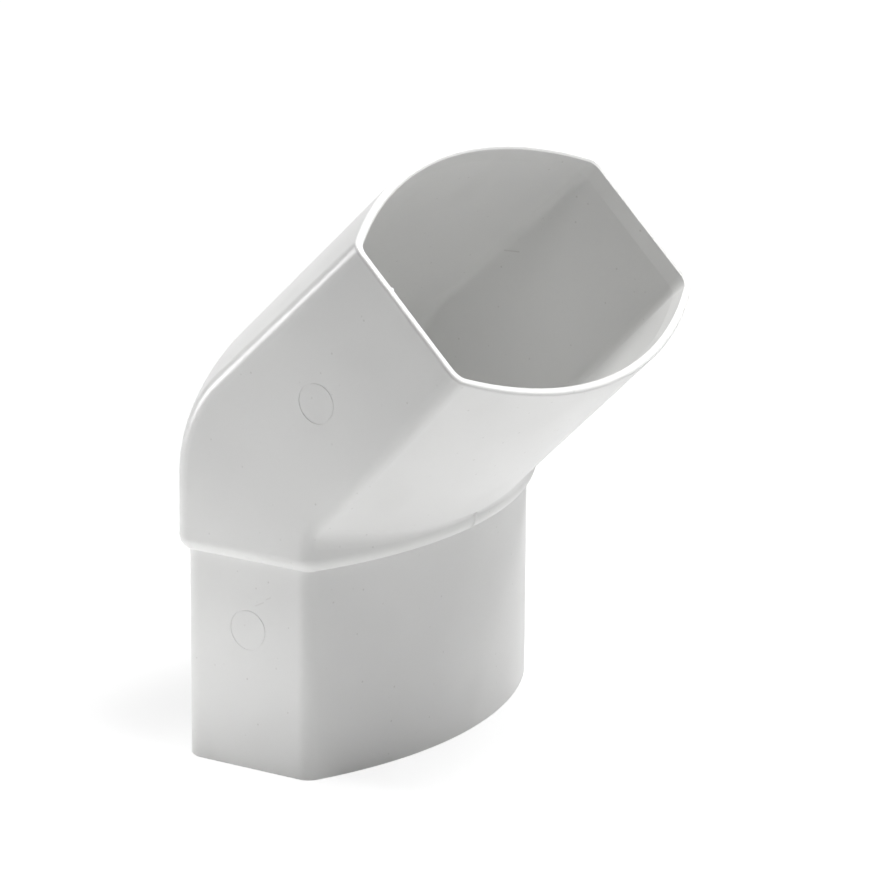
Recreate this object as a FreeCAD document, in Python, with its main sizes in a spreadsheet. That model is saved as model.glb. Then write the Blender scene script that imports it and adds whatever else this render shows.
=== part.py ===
"""Downspout elbow, one moulded piece of white plastic: an oval spigot that turns into a wider socket."""
import FreeCAD, Part
import math
import os

import Sketcher
from FreeCAD import Placement, Rotation, Vector

# The frame: the spigot's axis is Z and its open end lies on z = 0.
# The two flats of the oval face -Y and +Y, and the socket leans towards +X.
# One half is modelled, from the middle plane y = 0 to the flat that faces -Y, and then mirrored.
SIZES = [
    ("flat_span", 100.0, "spigot, outside, from flat to flat"),
    ("crown_span", 60.0, "spigot, outside, from crown to crown"),
    ("flat_length", 34.0, "spigot's flat, corner to corner before rounding"),
    ("corner_radius", 4.5, "rounding between a flat and a crown, outside"),
    ("bore_corner_radius", 3.5, "the same inside"),
    ("wall", 2.5, "wall of the whole moulding"),
    ("spigot_length", 52.2, "open end to the collar"),
    ("collar_margin", 2.4, "how far the collar stands out from the spigot, each side"),
    ("collar_round", 3.6, "rounding of the collar's lower edge"),
    ("ledge_height", 2.5, "from the collar's lower edge up to the ledge inside it"),
    ("bend_angle", 45.0, "turn from the spigot's axis to the socket's axis, degrees"),
    ("throat_rise", 4.7, "collar's lower edge up to the throat's crease, at the crown"),
    ("socket_length", 66.5, "crossing of the axes to the socket's rim"),
    ("socket_margin", 4.8, "how far the socket's outside stands out from the spigot's, each side"),
    ("fold_rise", 8.3, "crossing of the axes up to the soft fold across each flat"),
    ("fold_margin", 1.6, "how far the flats stand out from the spigot's at that fold"),
    ("fold_radius", 90.0, "rounding of that fold"),
    ("bend_radius", 41.0, "rounding of the outer bend"),
    ("throat_radius", 1.3, "rounding of the crease in the throat, at the crown"),
    ("throat_side_radius", 10.0, "the same where the crease runs out at the flat"),
    ("lead_in_depth", 4.4, "depth of the taper inside the socket's mouth"),
    ("lead_in_width", 0.45, "how much that taper widens the mouth, each side"),
    ("rim_round", 0.8, "rounding of the rim's outer edge"),
    ("lip_bevel", 0.4, "bevel of the rim's inner edge"),
    ("end_bevel", 0.4, "bevel of the spigot's open end, outside"),
    ("mark_diameter", 9.8, "ejector mark: a fine round groove on the flat that faces -Y"),
    ("mark_width", 0.3, "width of that groove"),
    ("mark_depth", 0.12, "depth of that groove"),
    ("spigot_mark_height", 35.1, "middle of the mark on the spigot, above the open end"),
    ("socket_mark_depth", 36.3, "middle of the mark on the socket, below the rim"),
]
OVERSHOOT = 6.0   # how far a cutting or overlapping solid runs past what it meets
LENS_EXTRA = 4.0  # how far the crown arcs run past the flats that cut them

doc = FreeCAD.newDocument("DownspoutElbow")
sheet = doc.addObject("Spreadsheet::Sheet", "Sizes")
for row, (name, value, note) in enumerate(SIZES, start=1):
    sheet.set(f"A{row}", name)
    sheet.set(f"B{row}", str(value))
    sheet.set(f"C{row}", note)
    sheet.setAlias(f"B{row}", name)
doc.recompute()


def size(name):
    return float(sheet.get(name))


def worked_out(expression):
    """An expression's number, in mm or bare."""
    number = sheet.evalExpression(expression)
    return float(getattr(number, "Value", number))


# Expressions for what follows from the sheet. An oval grown by a margin keeps the centres of its arcs.
# The axes cross at AXIS_RISE above the collar's lower edge, so that the throat keeps its own height.
CROWN_RADIUS = ("(((Sizes.flat_span / 2)^2 + ((Sizes.crown_span - Sizes.flat_length) / 2)^2)"
                " / (Sizes.crown_span - Sizes.flat_length))")
LENS_SIDE = f"(Sizes.flat_span / 2 + Sizes.socket_margin + {LENS_EXTRA})"
AXIS_RISE = ("(Sizes.throat_rise + (Sizes.crown_span / 2 + Sizes.socket_margin) / sin(Sizes.bend_angle)"
             " - (Sizes.crown_span / 2 + Sizes.collar_margin) / tan(Sizes.bend_angle))")
LOWER_SLOPE = f"((Sizes.collar_margin - Sizes.fold_margin) / ({AXIS_RISE} + Sizes.fold_rise))"
UPPER_SLOPE = ("((Sizes.socket_margin - Sizes.fold_margin)"
               " / (Sizes.socket_length - Sizes.fold_rise * cos(Sizes.bend_angle)))")
LONG = "3 * Sizes.crown_span"
START, END, CENTRE = range(1, 4)        # points of a sketched line or arc
ORIGIN, X_AXIS, Y_AXIS = -1, -1, -2     # a sketch's own origin and axes
ALONG_Y = Vector(0, 1, 0)
UP = Vector(0, 0, 1)
CROSSING = UP * (size("spigot_length") + worked_out(AXIS_RISE))
SOCKET_WAY = Rotation(ALONG_Y, size("bend_angle")).multVec(UP)
RIM_CENTRE = CROSSING + SOCKET_WAY * size("socket_length")


def crown(margin):
    return f"(Sizes.crown_span / 2 + {margin})"


def side(margin):
    return f"(Sizes.flat_span / 2 + {margin})"


def place(thing, x="0", z="0", angle="0"):
    """Puts a thing on the middle plane at (x, z), tilted about Y, all three as expressions."""
    thing.Placement = Placement(Vector(), Rotation(ALONG_Y, 1))
    thing.setExpression("Placement.Base.x", x)
    thing.setExpression("Placement.Base.z", z)
    thing.setExpression("Placement.Rotation.Angle", angle)


def on_socket_axis(distance):
    """Where to place a thing square to the socket's axis, at a distance from the crossing."""
    return {"x": f"({distance}) * sin(Sizes.bend_angle)",
            "z": f"Sizes.spigot_length + {AXIS_RISE} + ({distance}) * cos(Sizes.bend_angle)",
            "angle": "Sizes.bend_angle"}


def arc(centre_x, centre_y, radius, start, end):
    circle = Part.Circle(Vector(centre_x, centre_y, 0), Vector(0, 0, 1), radius)
    return Part.ArcOfCircle(circle, math.radians(start), math.radians(end))


def line(start_x, start_y, end_x, end_y):
    return Part.LineSegment(Vector(start_x, start_y, 0), Vector(end_x, end_y, 0))


def dimension(sketch, name, expression, *constraint):
    index = sketch.addConstraint(Sketcher.Constraint(*constraint))
    sketch.renameConstraint(index, name)
    sketch.setExpression(f"Constraints.{name}", expression)


def half_lens(name, margin, open_front, **where):
    """Half of a leg's section before its flats are cut: crown arcs that end in one plane. An open front
    has no arc there and runs far forward instead."""
    sketch = doc.addObject("Sketcher::SketchObject", name)
    place(sketch, **where)
    y = size("flat_span") / 2 + size("socket_margin") + LENS_EXTRA
    crown_guess, corner_guess, far = size("crown_span") / 2 + 4, 12, 2 * size("crown_span")
    radius = (y * y + (crown_guess - corner_guess) ** 2) / (2 * (crown_guess - corner_guess))
    turn = math.degrees(math.asin(y / radius))
    if open_front:
        front = sketch.addGeometry(line(far, -y, far, 0))
        front_x, low_x = far, far
    else:
        front = sketch.addGeometry(arc(crown_guess - radius, 0, radius, -turn, 0))
        front_x, low_x = crown_guess, corner_guess
    flat = sketch.addGeometry(line(low_x, -y, -corner_guess, -y))
    back = sketch.addGeometry(arc(radius - crown_guess, 0, radius, 180, 180 + turn))
    middle = sketch.addGeometry(line(-crown_guess, 0, front_x, 0))
    sketch.addConstraint([
        Sketcher.Constraint("Coincident", front, START, flat, START),
        Sketcher.Constraint("Coincident", flat, END, back, END),
        Sketcher.Constraint("Coincident", back, START, middle, START),
        Sketcher.Constraint("Coincident", middle, END, front, END),
        Sketcher.Constraint("PointOnObject", back, CENTRE, X_AXIS),
        Sketcher.Constraint("PointOnObject", back, START, X_AXIS),
        Sketcher.Constraint("PointOnObject", middle, END, X_AXIS),
        Sketcher.Constraint("Horizontal", flat),
    ])
    dimension(sketch, "back_arc", f"{CROWN_RADIUS} + {margin}", "Radius", back, radius)
    dimension(sketch, "back_crown", crown(margin), "DistanceX", back, START, ORIGIN, START, crown_guess)
    dimension(sketch, "side", LENS_SIDE, "DistanceY", flat, START, ORIGIN, START, y)
    if open_front:
        sketch.addConstraint(Sketcher.Constraint("Vertical", front))
        dimension(sketch, "far", LONG, "DistanceX", ORIGIN, START, front, END, far)
    else:
        sketch.addConstraint([Sketcher.Constraint("PointOnObject", front, CENTRE, X_AXIS),
                              Sketcher.Constraint("Equal", front, back)])
        dimension(sketch, "front_crown", crown(margin),
                  "DistanceX", ORIGIN, START, front, END, crown_guess)
    return sketch


def extrude(name, section, forward="0", backward="0"):
    """Extrudes a section square to its plane, by lengths given as expressions."""
    shape = doc.addObject("Part::Extrusion", name)
    shape.Base = section
    shape.DirMode = "Normal"
    shape.Solid = True
    shape.setExpression("LengthFwd", forward)
    shape.setExpression("LengthRev", backward)
    return shape


def half_oval(name, crown_margin, side_margin, radius, **where):
    """Half of the oval section, grown by one margin at the crown and one at the flat, corners rounded."""
    sketch = doc.addObject("Sketcher::SketchObject", name)
    place(sketch, **where)
    y, crown_guess = size("flat_span") / 2, size("crown_span") / 2
    corner_guess = size("flat_length") / 2
    rise = crown_guess - corner_guess
    big = (y * y + rise * rise) / (2 * rise)
    turn = math.degrees(math.asin(y / big))
    small = size("corner_radius")
    flat_end = corner_guess - small / 2
    front = sketch.addGeometry(arc(crown_guess - big, 0, big, -turn, 0))
    front_corner = sketch.addGeometry(arc(flat_end, small - y, small, 270, 360 - turn))
    flat = sketch.addGeometry(line(flat_end, -y, -flat_end, -y))
    back_corner = sketch.addGeometry(arc(-flat_end, small - y, small, 180 + turn, 270))
    back = sketch.addGeometry(arc(big - crown_guess, 0, big, 180, 180 + turn))
    middle = sketch.addGeometry(line(-crown_guess, 0, crown_guess, 0))
    sketch.addConstraint([
        Sketcher.Constraint("Tangent", front, START, front_corner, END),
        Sketcher.Constraint("Tangent", front_corner, START, flat, START),
        Sketcher.Constraint("Tangent", flat, END, back_corner, END),
        Sketcher.Constraint("Tangent", back_corner, START, back, END),
        Sketcher.Constraint("Coincident", back, START, middle, START),
        Sketcher.Constraint("Coincident", middle, END, front, END),
        Sketcher.Constraint("PointOnObject", front, CENTRE, X_AXIS),
        Sketcher.Constraint("PointOnObject", back, CENTRE, X_AXIS),
        Sketcher.Constraint("PointOnObject", middle, END, X_AXIS),
        Sketcher.Constraint("Symmetric", front, END, back, START, Y_AXIS),
        Sketcher.Constraint("Horizontal", flat),
        Sketcher.Constraint("Equal", front, back),
        Sketcher.Constraint("Equal", front_corner, back_corner),
    ])
    dimension(sketch, "crown_arc", f"{CROWN_RADIUS} + {crown_margin}", "Radius", front, big)
    dimension(sketch, "corner_arc", radius, "Radius", front_corner, small)
    dimension(sketch, "crown", crown(crown_margin), "DistanceX", ORIGIN, START, front, END, crown_guess)
    dimension(sketch, "side", side(side_margin), "DistanceY", flat, START, ORIGIN, START, y)
    return sketch


def loft(name, *sections):
    shape = doc.addObject("Part::Loft", name)
    shape.Sections = list(sections)
    shape.Solid = True
    shape.Ruled = True
    return shape


def fuse(name, *shapes, refine=False):
    joined = doc.addObject("Part::MultiFuse", name)
    joined.Shapes = list(shapes)
    joined.Refine = refine
    return joined


def pair(kind, name, base, tool):
    """A cut or a common of two solids."""
    result = doc.addObject(kind, name)
    result.Base = base
    result.Tool = tool
    return result


def rounded(name, base, radii, kind="Part::Fillet"):
    """Fillets base, or bevels it. For each edge radii gives None, a radius, or one for each end."""
    doc.recompute()
    rows = []
    for number, edge in enumerate(base.Shape.Edges, start=1):
        radius = radii(edge)
        if radius is not None:
            first, last = radius if isinstance(radius, tuple) else (radius, radius)
            rows.append((number, first, last))
    fillet = doc.addObject(kind, name)
    fillet.Base = base
    fillet.Edges = rows
    return fillet


def lies_in(edge, origin, normal, near=1e-3):
    """Whether the whole edge lies in the plane through origin."""
    first, last = edge.ParameterRange
    points = [edge.valueAt(first + (last - first) * step / 4) for step in range(5)]
    return all(abs((point - origin).dot(normal)) < near for point in points)


def is_flat(face):
    """Whether the face belongs to the flat that faces -Y."""
    u_first, u_last, v_first, v_last = face.ParameterRange
    normal = face.normalAt((u_first + u_last) / 2, (v_first + v_last) / 2)
    return abs(normal.y) > 0.98 and face.CenterOfMass.y < -size("flat_span") / 4


def flat_normals():
    """Outward directions of the lower and the upper leg's flat that faces -Y."""
    return (Vector(0, -1, worked_out(LOWER_SLOPE)).normalize(),
            (-ALONG_Y - SOCKET_WAY * worked_out(UPPER_SLOPE)).normalize())


def flats(name, inset):
    """Block whose outer face holds the flats of both legs, with the soft fold where they meet."""
    lower_normal, upper_normal = flat_normals()
    along = lower_normal.cross(upper_normal)
    fold_side = size("flat_span") / 2 + size("fold_margin") - inset
    fold = CROSSING + UP * size("fold_rise") - ALONG_Y * fold_side
    sketch = doc.addObject("Sketcher::SketchObject", name + "_FlatLines")
    sketch.Placement = Placement(fold, Rotation(lower_normal, along.cross(lower_normal), along, "XYZ"))
    turn = lower_normal.getAngle(upper_normal)
    radius, past = size("fold_radius"), 3 * size("crown_span")
    reach = radius * math.tan(turn / 2)
    far_x, far_y = past * math.tan(turn), -past
    lower = sketch.addGeometry(line(0, past, 0, reach))
    bow = sketch.addGeometry(arc(radius, reach, radius, 180, 180 + math.degrees(turn)))
    upper = sketch.addGeometry(line(reach * math.sin(turn), -reach * math.cos(turn), far_x, far_y))
    bottom = sketch.addGeometry(line(far_x, far_y, -past, far_y))
    inner = sketch.addGeometry(line(-past, far_y, -past, past))
    top = sketch.addGeometry(line(-past, past, 0, past))
    sketch.addConstraint([
        Sketcher.Constraint("Tangent", lower, END, bow, START),
        Sketcher.Constraint("Tangent", bow, END, upper, START),
        Sketcher.Constraint("Coincident", upper, END, bottom, START),
        Sketcher.Constraint("Coincident", bottom, END, inner, START),
        Sketcher.Constraint("Coincident", inner, END, top, START),
        Sketcher.Constraint("Coincident", top, END, lower, START),
        Sketcher.Constraint("PointOnObject", lower, START, Y_AXIS),
        Sketcher.Constraint("Vertical", lower),
        Sketcher.Constraint("Horizontal", bottom),
        Sketcher.Constraint("Vertical", inner),
        Sketcher.Constraint("Horizontal", top),
        Sketcher.Constraint("PointOnObject", ORIGIN, START, upper),
    ])
    cosine = (f"(1 - {LOWER_SLOPE} * {UPPER_SLOPE} * cos(Sizes.bend_angle))"
              f" / sqrt((1 + {LOWER_SLOPE}^2) * (1 + {UPPER_SLOPE}^2))")
    dimension(sketch, "fold", "Sizes.fold_radius", "Radius", bow, radius)
    dimension(sketch, "rise", f"{LONG} * tan(acos({cosine}))",
              "DistanceX", ORIGIN, START, upper, END, far_x)
    dimension(sketch, "above", LONG, "DistanceY", ORIGIN, START, lower, START, past)
    dimension(sketch, "below", LONG, "DistanceY", upper, END, ORIGIN, START, past)
    dimension(sketch, "depth", LONG, "DistanceX", inner, START, ORIGIN, START, past)
    return extrude(name + "_Flats", sketch, LONG, LONG)


def half_legs(name, floor, top, corner, inset=None):
    """Both legs of one half as a solid, from the height floor to the plane across the socket's axis at
    the distance top. inset names the size by which the solid lies inside the skin. Each leg runs on
    through the other and is cut by the other's back, so that their backs meet in the outer bend and
    their fronts in the throat's crease."""
    depth = size(inset) if inset else 0
    less = f" - Sizes.{inset}" if inset else ""
    low, high = f"(Sizes.collar_margin{less})", f"(Sizes.socket_margin{less})"
    lower = half_lens(name + "_Lower", low, False, z=floor)
    lower_back = half_lens(name + "_LowerBack", low, True, z=f"{floor} + 1")
    upper = half_lens(name + "_Upper", high, False, **on_socket_axis(top))
    upper_back = half_lens(name + "_UpperBack", high, True, **on_socket_axis(top))
    lower_leg = pair("Part::Common", name + "_LowerLeg",
                     extrude(name + "_LowerLong", lower, forward=LONG),
                     extrude(name + "_UnderUpperBack", upper_back, backward=LONG))
    upper_leg = pair("Part::Common", name + "_UpperLeg",
                     extrude(name + "_UpperLong", upper, backward=LONG),
                     extrude(name + "_BeforeLowerBack", lower_back, forward=LONG))
    legs = fuse(name + "_Legs", lower_leg, upper_leg, refine=True)
    doc.recompute()
    floor_point, top_point = lower.Placement.Base, upper.Placement.Base

    def at_an_end(edge):
        return lies_in(edge, floor_point, UP) or lies_in(edge, top_point, SOCKET_WAY)

    def runs_across(edge):
        return edge.BoundBox.YLength > size("flat_span") / 4 and not at_an_end(edge)

    def outer_bend(edge):
        return size("bend_radius") - depth if runs_across(edge) and edge.CenterOfMass.x < 0 else None

    def crease(edge):
        if not runs_across(edge) or edge.CenterOfMass.x < 0:
            return None
        radii = size("throat_radius") + depth, size("throat_side_radius") + depth
        starts_at_crown = abs(edge.valueAt(edge.FirstParameter).y) < 1e-3
        return radii if starts_at_crown else radii[::-1]

    bent = rounded(name + "_Bend", legs, outer_bend)
    soft = rounded(name + "_Throat", bent, crease)
    trimmed = pair("Part::Common", name + "_Trimmed", soft, flats(name, depth))
    doc.recompute()

    def beside_flat(edge):
        if at_an_end(edge):
            return None
        sides = [is_flat(face) for face in trimmed.Shape.ancestorsOfType(edge, Part.Face)]
        return size(corner) if sides.count(True) == 1 else None

    return rounded(name + "_Corners", trimmed, beside_flat)


def in_plane(origin, normal):
    """Test for the edges of a solid's outline in a plane, without those on the middle plane."""
    return lambda edge: lies_in(edge, origin, normal) and not lies_in(edge, Vector(), ALONG_Y)


def mark(name, middle, normal):
    """Thin ring, set into the flat round its middle: the groove of an ejector mark."""
    rings = []
    for part, sign in (("_Outer", "+"), ("_Inner", "-")):
        ring = doc.addObject("Part::Cylinder", name + part)
        ring.setExpression("Radius", f"(Sizes.mark_diameter {sign} Sizes.mark_width) / 2")
        ring.setExpression("Height", f"{OVERSHOOT} + Sizes.mark_depth")
        ring.Placement = Placement(middle - normal * size("mark_depth"), Rotation(UP, normal))
        rings.append(ring)
    return pair("Part::Cut", name, *rings)


# The two legs outside, from the collar's rounded lower edge to the rim.
legs = half_legs("Skin", "Sizes.spigot_length", "Sizes.socket_length", "corner_radius")
collar_floor = in_plane(UP * size("spigot_length"), UP)
collar = rounded("Skin_CollarRound", legs,
                 lambda edge: size("collar_round") if collar_floor(edge) else None)
rim = in_plane(RIM_CENTRE, SOCKET_WAY)
skin = rounded("Skin_RimRound", collar, lambda edge: size("rim_round") if rim(edge) else None)

# The spigot, which runs up inside the collar.
spigot_outline = half_oval("Spigot_Outline", "0", "0", "Sizes.corner_radius")
spigot_blank = extrude("Spigot_Blank", spigot_outline, forward="Sizes.spigot_length + Sizes.collar_round")
open_end = in_plane(Vector(), UP)
spigot = rounded("Spigot", spigot_blank,
                 lambda edge: size("end_bevel") if open_end(edge) else None, "Part::Chamfer")

# The space inside: the legs' from the ledge to past the rim, the spigot's, and the taper in the mouth.
cavity = half_legs("Cavity", "(Sizes.spigot_length + Sizes.ledge_height)",
                   f"Sizes.socket_length + {OVERSHOOT}", "bore_corner_radius", "wall")
bore_outline = half_oval("Bore_Outline", "(-Sizes.wall)", "(-Sizes.wall)", "Sizes.bore_corner_radius")
bore = extrude("Bore", bore_outline,
               forward=f"Sizes.spigot_length + Sizes.ledge_height + {OVERSHOOT}",
               backward=f"{OVERSHOOT}")
MOUTH = "(Sizes.socket_margin - Sizes.wall)"
FLARE = f"({UPPER_SLOPE} * Sizes.lead_in_depth)"
PAST = f"({OVERSHOOT} / Sizes.lead_in_depth)"
taper_low = half_oval("Taper_Low", f"({MOUTH} - Sizes.lead_in_width * {PAST})",
                      f"({MOUTH} - {FLARE} - (Sizes.lead_in_width + {FLARE}) * {PAST})",
                      "Sizes.bore_corner_radius",
                      **on_socket_axis(f"Sizes.socket_length - Sizes.lead_in_depth - {OVERSHOOT}"))
taper_high = half_oval("Taper_High", f"({MOUTH} + Sizes.lead_in_width * (1 + {PAST}))",
                       f"({MOUTH} + Sizes.lead_in_width + (Sizes.lead_in_width + {FLARE}) * {PAST})",
                       "Sizes.bore_corner_radius",
                       **on_socket_axis(f"Sizes.socket_length + {OVERSHOOT}"))
taper = loft("Taper", taper_low, taper_high)

# One half of the piece with its mouth rounded inside too, and its mirror image.
inside = fuse("Inside", cavity, bore, taper)
shell = pair("Part::Cut", "Shell", fuse("Outside", skin, spigot), inside)


def lip(edge):
    """The rim's inner outline, which lies on the space inside."""
    if not rim(edge):
        return None
    gap = inside.Shape.distToShape(Part.Vertex(edge.CenterOfMass))[0]
    return size("lip_bevel") if gap < size("wall") / 2 else None


half = rounded("Half", shell, lip, "Part::Chamfer")
other_half = doc.addObject("Part::Mirroring", "OtherHalf")
other_half.Source = half
other_half.Normal = ALONG_Y
both = fuse("Both", half, other_half, refine=True)

# The ejector marks on the flat that faces -Y, one on each leg.
upper_normal = flat_normals()[1]
socket_slope = upper_normal.dot(SOCKET_WAY) / upper_normal.y
socket_y = size("flat_span") / 2 + size("socket_margin") - size("socket_mark_depth") * socket_slope
socket_middle = RIM_CENTRE - SOCKET_WAY * size("socket_mark_depth") - ALONG_Y * socket_y
spigot_middle = UP * size("spigot_mark_height") - ALONG_Y * (size("flat_span") / 2)
spigot_mark = mark("Spigot_Mark", spigot_middle, -ALONG_Y)
socket_mark = mark("Socket_Mark", socket_middle, upper_normal)
elbow = pair("Part::Cut", "Elbow", both, fuse("Marks", spigot_mark, socket_mark))
elbow.Label = "elbow"
elbow.Placement = Placement()
doc.recompute()

for item in doc.Objects:
    shape = getattr(item, "Shape", None)
    if "Invalid" in item.State or "Error" in item.State:
        raise RuntimeError(f"{item.Name} did not rebuild")
    if shape is not None and (shape.isNull() or not shape.isValid()):
        raise RuntimeError(f"{item.Name} has no valid shape")
if len(elbow.Shape.Solids) != 1:
    raise RuntimeError("the elbow is not one solid")
os.makedirs("parts", exist_ok=True)
elbow.Shape.exportStep(f"parts/{elbow.Label}.step")
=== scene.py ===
"""Looks of the downspout elbow: white moulded plastic on a pale studio floor."""
import math

import bpy
from mathutils import Matrix, Vector


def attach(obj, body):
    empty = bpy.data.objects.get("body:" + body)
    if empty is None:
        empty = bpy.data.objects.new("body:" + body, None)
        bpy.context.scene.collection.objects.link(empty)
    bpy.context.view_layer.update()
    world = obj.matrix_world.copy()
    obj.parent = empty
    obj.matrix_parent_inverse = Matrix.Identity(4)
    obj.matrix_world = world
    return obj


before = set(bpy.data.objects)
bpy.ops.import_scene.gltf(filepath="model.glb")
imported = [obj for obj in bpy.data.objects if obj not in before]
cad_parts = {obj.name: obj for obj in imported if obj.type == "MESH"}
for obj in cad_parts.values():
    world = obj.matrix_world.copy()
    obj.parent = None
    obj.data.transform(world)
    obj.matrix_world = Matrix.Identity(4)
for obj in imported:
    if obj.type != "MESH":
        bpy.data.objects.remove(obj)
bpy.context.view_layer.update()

MM_IN_METRE = 1000

# The camera, in metres and degrees, round a target on the spigot's axis. Lens and sensor in mm.
CAMERA_AZIMUTH = 32.03
CAMERA_ELEVATION = 16.11
CAMERA_ROLL = 0.422
CAMERA_DISTANCE = 1.18746
CAMERA_TARGET = Vector((0.0, 0.0, 0.060))
CAMERA_SIDEWAYS = 0.01761
CAMERA_UPWARDS = 0.01103
CAMERA_LENS = 200.52
CAMERA_SENSOR = 36.0
CAMERA_NEAREST = 0.05
CAMERA_FARTHEST = 20.0

# Soft lamps round the elbow: name, azimuth, elevation, distance, width, height, power in watts.
LAMP_TARGET = Vector((0.02, 0.0, 0.07))
LAMPS = [
    ("HighBack", 135, 68, 0.6, 0.3, 0.3, 3.9),
    ("HighRight", 90, 68, 0.6, 0.3, 0.3, 1.1),
    ("LowLeft", -70, 5, 1.0, 0.4, 0.25, 3.7),
    ("LowRight", 70, 9, 1.0, 0.4, 0.25, 0.75),
]

# Soft spots that look straight down and light the floor beside the elbow: name, x, y,
# cone in degrees, power in watts.
SPOT_HEIGHT = 0.6
SPOT_RADIUS = 0.03
SPOTS = [
    ("FloorNear", -0.03, -0.13, 16, 23.5),
    ("FloorWide", 0.0, -0.13, 24, 6.0),
    ("FloorRight", 0.22, 0.03, 16, 19.0),
]

# The floor. Its glow grows from the first level to the second between the two distances from
# the spigot, in metres. Near the spigot the lamps' light on the faint paint makes up the rest.
FLOOR_HALF_SIZE = 3.0
FLOOR_PAINT = (0.85, 0.85, 0.85, 1)
FLOOR_FAINT_PAINT = (0.30, 0.30, 0.30, 1)
FLOOR_GLOW_DISTANCES = (0.2, 0.7)
FLOOR_GLOW_LEVELS = (0.80, 1.0)

# Strength of the room's even light on the elbow, and of the white that is seen behind it.
ROOM_LIGHT = 0.02
ROOM_WHITE = 1.0

# Colours of the plastic and of its marks, and how far each mark turns the plastic to its colour.
WHITE = (0.82, 0.82, 0.81)
FAINTLY_GREY = (0.79, 0.79, 0.782)
SMUDGE_GREY = (0.74, 0.74, 0.73)
SPECK_GREY = (0.50, 0.49, 0.47)
LINE_GREY = (0.58, 0.57, 0.55)
SMUDGE_SHARE = 0.3
SPECK_SHARE = 0.4
LINE_SHARE = 0.6

# Roughness of the plastic, and what smudges and lines add to it.
ROUGHNESS = (0.285, 0.345)
SMUDGE_ROUGHNESS = 0.10
LINE_ROUGHNESS = 0.2
PLASTIC_IOR = 1.53

# Patterns: cells a metre, detail, and the range of values over which each one sets in.
CLOUDS = (24.0, 1.0)
CLOUDS_RANGE = (0.30, 0.75)
DULL_PATCHES = (40.0, 1.0)
DULL_PATCHES_RANGE = (0.3, 0.7)
SMUDGES = (60.0, 0.5)
SMUDGES_RANGE = (0.52, 0.86)

# Sink waves, longer across the spigot than along it, and the depth of waves and marks in metres.
WAVES = (55.0, 1.0)
WAVES_STRETCH = (0.35, 0.35, 1.6)
WAVES_DEPTH = 0.00014
MARKS_DEPTH = 0.00003

# Specks: cells a metre, the dot's edge from full to nothing in parts of a cell, and the range
# over which a cell's random number turns into the strength of its dot.
SPECK_CELLS = 340.0
SPECK_EDGE = (0.05, 0.12)
SPECK_CHANCE = (0.40, 0.95)

# Marks: start, end and width in mm. The scratch is inside the mouth, the scuffs are beside the
# lower ejector mark and by the rim's corner.
SCRATCH = ((9.4, 50.3, 108.75), (13.4, 50.6, 108.85), 0.60)
SCUFFS = [
    ((2.1, -50.0, 41.5), (4.4, -50.0, 42.7), 0.5),
    ((5.2, -50.0, 43.6), (6.4, -50.0, 44.3), 0.5),
    ((55.9, -43.7, 94.6), (58.6, -43.3, 94.2), 0.4),
]
SCUFF_STRENGTH = 0.55

# The collar's front where the parting line runs over it: how far it reaches, the height at
# which its lower rounding ends, and the rounding's radius, in mm.
COLLAR_FRONT = 32.4
COLLAR_HEIGHT = 55.8
COLLAR_ROUNDING = 3.6

# The parting line: degrees of the rounding that it covers, in so many steps, the scale of its
# section at the start and what each step adds up to 1, then rise in mm and scale on the wall
# above the rounding, and its section as (side, out) in mm.
LINE_TURN = 64
LINE_STEPS = 12
LINE_FIRST_SCALE = 0.25
LINE_GROWTH = 0.125
LINE_RISES = [(0.35, 1.0), (0.7, 1.25), (1.0, 1.5), (1.3, 1.2), (1.6, 0.6)]
LINE_OUTLINE = [(-0.50, -0.10), (-0.28, 0.08), (-0.11, 0.30),
                (0.07, 0.30), (0.24, 0.07), (0.50, -0.10)]

# The socket's axis rises by so many degrees on its way to +X.
SOCKET_RISE = 45

# The burr: its middle on the rim's near edge in mm, distances in mm along that edge with the
# scale of its section there, and the section as (side, out) in mm.
BURR_MIDDLE = Vector((42.05, -52.95, 125.35))
BURR_RUNS = [(-0.6, 0.1), (-0.35, 0.9), (-0.1, 0.8), (0.15, 1.15), (0.4, 0.6), (0.6, 0.1)]
BURR_OUTLINE = [(-0.30, 0.02), (0.05, 0.10), (0.42, 0.16),
                (0.60, 0.02), (0.38, -0.14), (-0.05, -0.30)]


def direction(azimuth, elevation):
    """Unit vector at an azimuth, 0 being -Y and 90 +X, and an elevation, in degrees."""
    a, e = math.radians(azimuth), math.radians(elevation)
    return Vector((math.sin(a) * math.cos(e), -math.cos(a) * math.cos(e), math.sin(e)))


def link(obj):
    bpy.context.scene.collection.objects.link(obj)
    return obj


def make_camera():
    back = direction(CAMERA_AZIMUTH, CAMERA_ELEVATION)
    right = direction(CAMERA_AZIMUTH + 90, 0)
    up = back.cross(right)
    place = CAMERA_TARGET + right * CAMERA_SIDEWAYS + up * CAMERA_UPWARDS + back * CAMERA_DISTANCE
    roll = math.radians(CAMERA_ROLL)
    x_axis = right * math.cos(roll) + up * math.sin(roll)
    y_axis = up * math.cos(roll) - right * math.sin(roll)
    turn = Matrix((x_axis, y_axis, back)).transposed().to_4x4()
    data = bpy.data.cameras.new("Camera")
    data.sensor_width = CAMERA_SENSOR
    data.lens = CAMERA_LENS
    data.clip_start = CAMERA_NEAREST
    data.clip_end = CAMERA_FARTHEST
    camera = link(bpy.data.objects.new("Camera", data))
    camera.matrix_world = Matrix.Translation(place) @ turn
    bpy.context.scene.camera = camera


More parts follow.
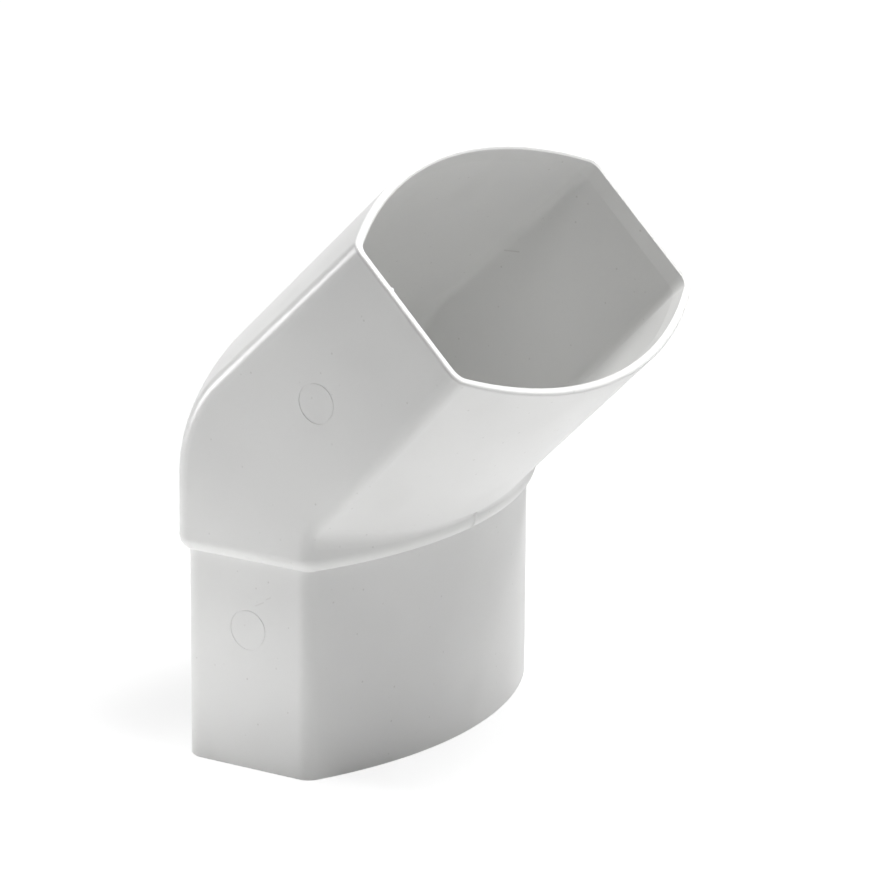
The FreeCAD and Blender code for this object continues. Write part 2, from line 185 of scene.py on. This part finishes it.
class Tree:
    """Short way to write a node tree."""

    def __init__(self, owner):
        owner.use_nodes = True
        self.tree = owner.node_tree
        self.tree.nodes.clear()

    def add(self, kind, values=None, output=0, **settings):
        """Adds a node and returns one of its outputs. A value that is an output is linked."""
        node = self.tree.nodes.new(kind)
        for name, setting in settings.items():
            setattr(node, name, setting)
        for socket, value in (values or {}).items():
            if isinstance(value, bpy.types.NodeSocket):
                self.tree.links.new(value, node.inputs[socket])
            else:
                node.inputs[socket].default_value = value
        return node.outputs[output] if node.outputs else None

    def place(self):
        """The point that is shaded, in the piece's own metres."""
        return self.add("ShaderNodeTexCoord", output="Object")

    def math(self, operation, *values):
        return self.add("ShaderNodeMath", dict(enumerate(values)), operation=operation)

    def vector(self, operation, *values, output="Vector"):
        return self.add("ShaderNodeVectorMath", dict(enumerate(values)), output,
                        operation=operation)

    def ramp(self, value, edges, levels=(0.0, 1.0)):
        """Smooth step from the first level at the first edge to the second at the second."""
        return self.add("ShaderNodeMapRange",
                        {"Value": value, "From Min": edges[0], "From Max": edges[1],
                         "To Min": levels[0], "To Max": levels[1]},
                        interpolation_type="SMOOTHSTEP")

    def noise(self, place, scale, detail):
        """Noise of so many cells a metre."""
        return self.add("ShaderNodeTexNoise", {"Vector": place, "Scale": scale, "Detail": detail})

    def blend(self, factor, first, second):
        """Mixes two colours, each an output or three numbers."""
        first, second = [c if isinstance(c, bpy.types.NodeSocket) else (*c, 1)
                         for c in (first, second)]
        return self.add("ShaderNodeMix", {"Factor": factor, "A": first, "B": second}, "Result",
                        data_type="RGBA")

    def near_line(self, place, start, end, width):
        """1 along the line between two points in mm, falling to 0 at half its width."""
        start, end = Vector(start) / MM_IN_METRE, Vector(end) / MM_IN_METRE
        along = (end - start).normalized()
        from_start = self.vector("SUBTRACT", place, start)
        run = self.vector("DOT_PRODUCT", from_start, along, output="Value")
        run = self.math("MINIMUM", self.math("MAXIMUM", run, 0.0), (end - start).length)
        foot = self.add("ShaderNodeVectorMath", {0: along, "Scale": run}, operation="SCALE")
        gap = self.vector("DISTANCE", from_start, foot, output="Value")
        return self.ramp(gap, (0.0, width / 2 / MM_IN_METRE), (1.0, 0.0))


def plastic():
    """White rigid plastic as moulded: semi-gloss, faintly cloudy, with a few small marks."""
    material = bpy.data.materials.new("WhitePlastic")
    tree = Tree(material)
    place = tree.place()

    # Specks: a small dot in some of the cells, dust and dark grains in the plastic.
    cells = tree.add("ShaderNodeTexVoronoi", {"Vector": place, "Scale": SPECK_CELLS}).node
    dot = tree.ramp(cells.outputs["Distance"], SPECK_EDGE, (1.0, 0.0))
    chance = tree.add("ShaderNodeSeparateColor", {"Color": cells.outputs["Color"]})
    specks = tree.math("MULTIPLY", dot, tree.ramp(chance, SPECK_CHANCE))

    # Lines: the scratch, and the weaker scuffs.
    scratch = tree.near_line(place, *SCRATCH)
    scuff, *others = [tree.near_line(place, *mark) for mark in SCUFFS]
    for other in others:
        scuff = tree.math("MAXIMUM", scuff, other)
    lines = tree.math("MAXIMUM", scratch, tree.math("MULTIPLY", scuff, SCUFF_STRENGTH))

    # Smudges, where handling dulled the surface.
    smudges = tree.ramp(tree.noise(place, *SMUDGES), SMUDGES_RANGE)

    clouds = tree.ramp(tree.noise(place, *CLOUDS), CLOUDS_RANGE)
    colour = tree.blend(clouds, WHITE, FAINTLY_GREY)
    for mark, share, grey in ((smudges, SMUDGE_SHARE, SMUDGE_GREY),
                              (specks, SPECK_SHARE, SPECK_GREY),
                              (lines, LINE_SHARE, LINE_GREY)):
        colour = tree.blend(tree.math("MULTIPLY", mark, share), colour, grey)

    rough = tree.ramp(tree.noise(place, *DULL_PATCHES), DULL_PATCHES_RANGE, ROUGHNESS)
    for mark, added in ((smudges, SMUDGE_ROUGHNESS), (lines, LINE_ROUGHNESS)):
        rough = tree.math("ADD", rough, tree.math("MULTIPLY", mark, added))

    # The slow sink waves, and the depth of lines and specks.
    waves = tree.noise(tree.vector("MULTIPLY", place, WAVES_STRETCH), *WAVES)
    marks = tree.math("MAXIMUM", lines, specks)
    normal = tree.add("ShaderNodeBump",
                      {"Height": waves, "Distance": WAVES_DEPTH, "Strength": 1.0})
    normal = tree.add("ShaderNodeBump",
                      {"Height": marks, "Distance": MARKS_DEPTH, "Normal": normal}, invert=True)
    surface = tree.add("ShaderNodeBsdfPrincipled",
                       {"Base Color": colour, "Roughness": rough, "IOR": PLASTIC_IOR,
                        "Normal": normal})
    tree.add("ShaderNodeOutputMaterial", {"Surface": surface})
    return material


def white_in_view(tree, plain, white):
    """Mixes two shaders: white where it is seen or mirrored, plain for the light it gives."""
    path = tree.add("ShaderNodeLightPath").node
    seen = path.outputs["Is Camera Ray"]
    for ray in ("Is Glossy Ray", "Is Transmission Ray"):
        seen = tree.math("MAXIMUM", seen, path.outputs[ray])
    return tree.add("ShaderNodeMixShader", {0: seen, 1: plain, 2: white})


def floor_material():
    """Pale paint, which looks white and keeps a faint shadow."""
    material = bpy.data.materials.new("PaleFloor")
    tree = Tree(material)
    paint = tree.add("ShaderNodeBsdfDiffuse", {"Color": FLOOR_PAINT})
    faint_paint = tree.add("ShaderNodeBsdfDiffuse", {"Color": FLOOR_FAINT_PAINT})
    distance = tree.vector("LENGTH", tree.place(), output="Value")
    level = tree.ramp(distance, FLOOR_GLOW_DISTANCES, FLOOR_GLOW_LEVELS)
    glow = tree.add("ShaderNodeEmission", {"Strength": level})
    white = tree.add("ShaderNodeAddShader", {0: faint_paint, 1: glow})
    tree.add("ShaderNodeOutputMaterial", {"Surface": white_in_view(tree, paint, white)})
    return material


def make_floor():
    half = FLOOR_HALF_SIZE
    mesh = bpy.data.meshes.new("Floor")
    mesh.from_pydata([(-half, -half, 0), (half, -half, 0), (half, half, 0), (-half, half, 0)],
                     [], [(0, 1, 2, 3)])
    mesh.materials.append(floor_material())
    floor = link(bpy.data.objects.new("Floor", mesh))


def make_lamp(name, azimuth, elevation, distance, width, height, power):
    data = bpy.data.lights.new(name, "AREA")
    data.shape = "RECTANGLE"
    data.size, data.size_y = width, height
    data.energy = power
    lamp = link(bpy.data.objects.new(name, data))
    way = direction(azimuth, elevation)
    lamp.location = LAMP_TARGET + way * distance
    lamp.rotation_mode = "QUATERNION"
    lamp.rotation_quaternion = way.to_track_quat("Z", "Y")


def make_spot(name, x, y, cone, power):
    data = bpy.data.lights.new(name, "SPOT")
    data.energy = power
    data.spot_size = math.radians(cone)
    data.spot_blend = 1.0
    data.shadow_soft_size = SPOT_RADIUS
    spot = link(bpy.data.objects.new(name, data))
    spot.location = (x, y, SPOT_HEIGHT)


def make_world():
    world = bpy.data.worlds.new("Studio")
    tree = Tree(world)
    room = tree.add("ShaderNodeBackground", {"Strength": ROOM_LIGHT})
    white = tree.add("ShaderNodeBackground", {"Strength": ROOM_WHITE})
    tree.add("ShaderNodeOutputWorld", {"Surface": white_in_view(tree, room, white)})
    bpy.context.scene.world = world


def swept(name, path, outline):
    """Closed mesh of an outline that is carried along a path.

    The path is a list of (point, side, out, scale), and the outline one of (side, out) pairs,
    both in mm.
    """
    points = [point + side * (scale * a) + out * (scale * b)
              for point, side, out, scale in path for a, b in outline]
    count = len(outline)
    last_row = len(points) - count
    faces = []
    for row in range(0, last_row, count):
        for k in range(count):
            after = (k + 1) % count
            faces.append((row + k, row + after, row + count + after, row + count + k))
    faces.append(tuple(reversed(range(count))))
    faces.append(tuple(range(last_row, len(points))))
    mesh = bpy.data.meshes.new(name)
    mesh.from_pydata([point / MM_IN_METRE for point in points], [], faces)
    mesh.polygons.foreach_set("use_smooth", [True] * len(mesh.polygons))
    return link(bpy.data.objects.new(name, mesh))


def parting_line():
    """Low ridge that the mould's halves left over the collar's front, up to the throat's crease."""
    side = Vector((0, 1, 0))
    centre = Vector((COLLAR_FRONT - COLLAR_ROUNDING, 0, COLLAR_HEIGHT))
    path = []
    for step in range(LINE_STEPS + 1):
        turn = math.radians(-LINE_TURN + LINE_TURN * step / LINE_STEPS)
        out = Vector((math.cos(turn), 0, math.sin(turn)))
        scale = min(1.0, LINE_FIRST_SCALE + LINE_GROWTH * step)
        path.append((centre + out * COLLAR_ROUNDING, side, out, scale))
    out = Vector((1, 0, 0))
    for rise, scale in LINE_RISES:
        path.append((Vector((COLLAR_FRONT, 0, COLLAR_HEIGHT + rise)), side, out, scale))
    return swept("PartingLine", path, LINE_OUTLINE)


def rim_burr():
    """Small flake that stands into the mouth from the rim's near edge."""
    side = Vector((0, 1, 0))
    out = direction(90, SOCKET_RISE)
    along = direction(-90, 90 - SOCKET_RISE)
    path = [(BURR_MIDDLE + along * run, side, out, scale) for run, scale in BURR_RUNS]
    return swept("RimBurr", path, BURR_OUTLINE)


make_camera()
make_floor()
for lamp in LAMPS:
    make_lamp(*lamp)
for spot in SPOTS:
    make_spot(*spot)
make_world()
bpy.context.scene.view_settings.view_transform = "Standard"

white_plastic = plastic()
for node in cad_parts.values():
    node.material_slots[0].material = white_plastic
for piece in (parting_line(), rim_burr()):
    piece.data.materials.append(white_plastic)
    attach(piece, "root")
